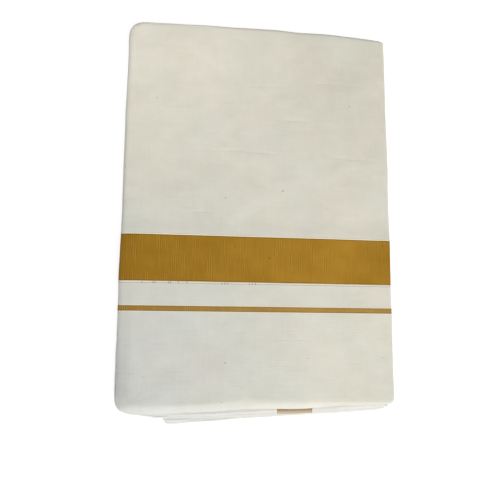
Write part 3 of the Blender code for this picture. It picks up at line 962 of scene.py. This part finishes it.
def cotton_material(name, colours, cord_axis, cords, cord_shows):
    """Handloom cotton, with those cords paler along its borders, across that axis."""
    nodes = Nodes(name)
    slubs_across = nodes.noise(16, 1000, detail=3.0)
    slubs_along = nodes.noise(1000, 16, detail=3.0)
    slubs = nodes.math("ADD", slubs_across, slubs_along)
    weave = plain_weave(nodes, nodes.noise(260, 260))
    mottle = nodes.noise(60, 95, detail=4.0, roughness=0.6)
    clouds = nodes.noise(24, 34)
    broad = nodes.noise(14, 14)
    tone = nodes.varied(0.5, slubs, 0.55, middle=1.0)
    tone = nodes.varied(tone, mottle, 0.68)
    tone = nodes.varied(tone, clouds, 1.0)
    tone = nodes.varied(tone, weave, 0.35, middle=0.4)
    base = nodes.blend(tone, (*colours.low, 1), (*colours.high, 1))
    warm = nodes.blend(tone, (*colours.warm_low, 1), (*colours.warm_high, 1))
    base = nodes.blend(nodes.spread(broad, 0.4, 0.62), base, warm)
    on_sheet = cord_axis == "Y"
    if on_sheet:
        base = sheet_tones(nodes, base)
        pressed = nodes.pressed_lines(CREASES[:PRESSED_CREASES])
        base = nodes.marked(base, pressed, 0.04, SHADED)
    ridges = nodes.wave(nodes.axis("X" if on_sheet else "Y"), 1.1 * MM)
    pale = nodes.blend(ridges, (0.77, 0.705, 0.53, 1), (0.86, 0.8, 0.62, 1))
    for (middle, width, _), shows in zip(cords, cord_shows):
        cord = nodes.lines(nodes.axis(cord_axis), (middle,), width, 0.25 * MM)
        base = nodes.blend(nodes.times(cord, shows), base, pale)
    if on_sheet:
        base = border_marks(nodes, base)
    placed = nodes.times(nodes.flecks(COTTON_FLECKS), 0.55)
    scattered = nodes.times(nodes.scattered_flecks(11.0, 0.02, seed=2.3), 0.3)
    base = nodes.blend(nodes.most((placed, scattered)), base, (0.2, 0.14, 0.08, 1))
    roughness = nodes.spread(mottle, 0.3, 0.7, 0.86, 0.97)
    normal = nodes.bump(slubs, 0.16 * MM, beneath=nodes.bump(weave, 0.16 * MM))
    if on_sheet:
        normal = nodes.bump(nodes.math("SUBTRACT", 1.0, pressed), 0.08 * MM, beneath=normal)
    plain = {"Specular IOR Level": 0.2, "Sheen Weight": 0.1, "Sheen Roughness": 0.45}
    return nodes.finished(base, roughness, normal, plain)


class ZariColours(NamedTuple):
    """Base colours of a zari border, from its darkest threads to its brightest."""

    rim: tuple
    dark: tuple
    low: tuple
    high: tuple
    light: tuple


BAND_COLOURS = ZariColours(
    rim=(0.13, 0.065, 0.008),
    dark=(0.2, 0.102, 0.006),
    low=(0.33, 0.168, 0.012),
    high=(0.46, 0.25, 0.026),
    light=(0.56, 0.35, 0.07),
)
STRIPE_COLOURS = ZariColours(
    rim=(0.2, 0.11, 0.02),
    dark=(0.25, 0.14, 0.02),
    low=(0.36, 0.208, 0.042),
    high=(0.48, 0.292, 0.074),
    light=(0.56, 0.38, 0.135),
)
# Painted light: the selvedge's zari is drawn paler and less saturated than the band's, as where light
# washes over the second fold
SELVEDGE_COLOURS = ZariColours(
    rim=(0.19, 0.13, 0.055),
    dark=(0.23, 0.16, 0.08),
    low=(0.305, 0.215, 0.108),
    high=(0.4, 0.295, 0.17),
    light=(0.56, 0.45, 0.3),
)


def zari_material(name, colours, edge_axis, edges, painted_light_span=None):
    """Gold zari woven in cotton, with a darker rim along its two edges on that axis.

    Over a span of painted light, from one y to another, the gold is drawn paler, towards a pale cream.
    """
    nodes = Nodes(name)
    x, y = nodes.axis("X"), nodes.axis("Y")
    ribs = nodes.noise(560, 24)
    wefts = nodes.noise(45, 2400, detail=1.0)
    broad = nodes.noise(26, 40, detail=3.0)
    tone = nodes.varied(0.5, ribs, 0.45)
    tone = nodes.varied(tone, wefts, 0.35)
    tone = nodes.varied(tone, broad, 0.8)
    tone = nodes.math("ADD", tone, nodes.spread(x, -0.17, 0.06, -0.45, 0.0))
    tone = nodes.math("ADD", tone, nodes.spread(x, 0.11, 0.16, 0.0, -0.22))
    base = nodes.blend(tone, (*colours.low, 1), (*colours.high, 1))

    # Warp threads that show through as straight dark and light lines, in patches
    patches = nodes.noise(150, 42, detail=1.0)
    left = nodes.spread(x, -0.03, -0.08, 0.0, 0.06)
    patches = nodes.spread(nodes.math("ADD", patches, left), 0.56, 0.66)
    for phase, colour, amount in ((0.0, colours.dark, 0.55), (2.2, colours.light, 0.5)):
        thread = nodes.spread(nodes.wave(x, THREAD_PAIR_PITCH, phase), 0.8, 0.97)
        base = nodes.marked(base, nodes.times(thread, patches), amount, colour)
    rims = tuple(edge + side * 0.4 * MM for edge, side in zip(edges, (1, -1)))
    rim = nodes.lines(nodes.axis(edge_axis), rims, 1.1 * MM, 0.5 * MM)
    base = nodes.marked(base, rim, 0.55, colours.rim)
    # painted light: the gold pales towards the nose of the second fold
    if painted_light_span is not None:
        base = nodes.blend(nodes.spread(y, *painted_light_span, 0.0, 0.75), base, (0.8, 0.74, 0.64, 1))
    base = nodes.marked(base, nodes.flecks(ZARI_KNOTS), 0.6, colours.rim)
    roughness = nodes.spread(tone, 0.2, 0.8, 0.66, 0.48)
    fine = nodes.math("ADD", nodes.wave(y, 0.5 * MM), nodes.wave(x, 0.9 * MM))
    normal = nodes.bump(ribs, 0.14 * MM, beneath=nodes.bump(fine, 0.08 * MM))
    plain = {"Metallic": 0.4, "Specular IOR Level": 0.15}
    return nodes.finished(base, roughness, normal, plain)


# ---- The pieces


def build_outer(cotton, zari, stripe_zari):
    """The outer layer in its five stretches, from the near fold to the far one."""
    surface = outer_layer()
    stretches = (  # the last number is how long each is, laid flat
        ("near_field", cotton, "ivory_cotton", ZARI_STRIPE[0] + NEAR_HEMS),
        ("zari_stripe", stripe_zari, "gold_zari", 0.0),  # goes with near_field
        ("middle_field", cotton, "ivory_cotton", ZARI_BAND[0] - ZARI_STRIPE[1]),
        ("zari_band", zari, "gold_zari", ZARI_BAND[1] - ZARI_BAND[0]),
        ("far_field", cotton, "ivory_cotton", PACK_LENGTH - ZARI_BAND[1] + FAR_HEMS),
    )
    for number, (node, material, slot, _) in enumerate(stretches):
        shell(node + "_cloth", surface, number, CLOTH, material)
        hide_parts(node)


def build_lower_folds(cotton, zari):
    """The folds that stand out under the near roll, the upper one with the selvedge's border."""
    cover = NEAR_ROLL * (1, -1)
    second = lower_fold(SECOND_FOLD_EDGE, cover, SECOND_FOLD_BASE, 60, SELVEDGE_BORDER)
    third = lower_fold(THIRD_FOLD_EDGE, SECOND_FOLD_EDGE, THIRD_FOLD_BASE, 70)
    low, high = SELVEDGE_BORDER
    start, end = SECOND_FOLD_EDGE[0][0], SECOND_FOLD_EDGE[-1][0]
    third_width = THIRD_FOLD_EDGE[-1][0] - THIRD_FOLD_EDGE[0][0]
    ivory, gold, below = "ivory_cotton", "gold_zari", "third_fold_cloth"
    pieces = (
        ("second_fold_left", second, 0, cotton, ivory, low - start, below),
        ("second_fold_zari", second, 1, zari, gold, high - low, below),
        ("second_fold_right", second, 2, cotton, ivory, end - high, below),
        ("third_fold", third, 0, cotton, ivory, third_width, "near_field_cloth"),
    )
    for node, surface, number, material, slot, width, carrier in pieces:
        piece = shell(node + "_cloth", surface, number, CLOTH, material)
        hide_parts(node)


def build_hidden(cotton):
    piece = hidden_layers(cotton)
    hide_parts("hidden_layers")


# ---- The setting


def build_floor():
    data = bpy.data.meshes.new("floor")
    side = 3.0
    corners = [(-side, -side, 0), (side, -side, 0), (side, side, 0), (-side, side, 0)]
    data.from_pydata(corners, [], [(0, 1, 2, 3)])
    floor = add_object("floor", data)
    material = bpy.data.materials.new("pale_floor")
    material.use_nodes = True
    shader = material.node_tree.nodes["Principled BSDF"]
    shader.inputs["Base Color"].default_value = (FLOOR_SHADE, FLOOR_SHADE, FLOOR_SHADE, 1)
    shader.inputs["Roughness"].default_value = 0.9
    shader.inputs["Emission Color"].default_value = (1, 1, 1, 1)
    shader.inputs["Emission Strength"].default_value = FLOOR_GLOW
    data.materials.append(material)
    floor.visible_diffuse = False  # its glow is for the eye, and doesn't light the cloth


def add_light(name, kind, place, settings):
    """A light at that place, which points at the frame's origin."""
    data = bpy.data.lights.new(name, kind)
    for key, value in settings.items():
        setattr(data, key, value)
    light = add_object(name, data)
    light.location = place
    light.rotation_euler = Vector(place).to_track_quat("Z", "Y").to_euler()


def build_studio():
    """Soft light from all round; seen directly, the studio's walls are as white as its floor."""
    world = bpy.data.worlds.new("studio")
    world.use_nodes = True
    tree = world.node_tree
    seen = tree.nodes.new("ShaderNodeLightPath").outputs["Is Camera Ray"]
    strength = tree.nodes.new("ShaderNodeMapRange")
    strength.inputs["To Min"].default_value = WORLD_STRENGTH
    background = tree.nodes["Background"]
    background.inputs["Color"].default_value = (1.0, 1.0, 1.0, 1)
    tree.links.new(seen, strength.inputs["Value"])
    tree.links.new(strength.outputs["Result"], background.inputs["Strength"])
    bpy.context.scene.world = world


def build_lights():
    key = {"energy": KEY_STRENGTH, "angle": math.radians(35), "color": (1.0, 0.985, 0.955)}
    add_light("key", "SUN", KEY_FROM, key)
    fill = {"energy": FILL_WATTS, "shape": "DISK", "size": 1.0}
    add_light("left_fill", "AREA", LEFT_FILL_FROM, fill | {"color": (0.95, 0.98, 1.0)})
    add_light("back_fill", "AREA", BACK_FILL_FROM, fill)
    build_studio()
    bpy.context.scene.view_settings.view_transform = "Standard"


def build_camera():
    data = bpy.data.cameras.new("camera")
    data.sensor_width = SENSOR
    data.lens = FOCAL_PIXELS * SENSOR / RENDER_SIDE
    data.clip_start = 0.01
    camera = add_object("camera", data)
    shift = Vector((0, FOLD_LINE, 0))
    back = (CAMERA_PLACE - CAMERA_TARGET).normalized()
    right = Vector((0, 0, 1)).cross(back).normalized()
    up = back.cross(right)
    turn = math.radians(CAMERA_ROLL)
    rolled_right = math.cos(turn) * right + math.sin(turn) * up
    rolled_up = math.cos(turn) * up - math.sin(turn) * right
    rotation = Matrix((rolled_right, rolled_up, back)).transposed()
    camera.matrix_world = Matrix.Translation(CAMERA_PLACE + shift) @ rotation.to_4x4()
    bpy.context.scene.camera = camera


cotton = cotton_material("ivory_cotton_weave", SHEET_COLOURS, "Y", CORDS, CORD_SHOWS)
selvedge_cords = cords_beside(SELVEDGE_BORDER, CORD_WIDTH, CORD_HEIGHT)
# a lighter copy of the cotton, painted light, for the folds inside
folded_cotton = cotton_material(
    "ivory_selvedge_weave", FOLD_COLOURS, "X", selvedge_cords, SELVEDGE_CORD_SHOWS
)
zari = zari_material("gold_zari_weave", BAND_COLOURS, "Y", ZARI_BAND)
stripe_zari = zari_material("gold_stripe_weave", STRIPE_COLOURS, "Y", ZARI_STRIPE)
# painted light pales this zari towards the second fold's nose
selvedge_zari = zari_material(
    "gold_selvedge_weave", SELVEDGE_COLOURS, "X", SELVEDGE_BORDER, painted_light_span=(-0.0212, -0.0275)
)
build_camera()
build_outer(cotton, zari, stripe_zari)
build_lower_folds(folded_cotton, selvedge_zari)
build_hidden(folded_cotton)
build_floor()
build_lights()
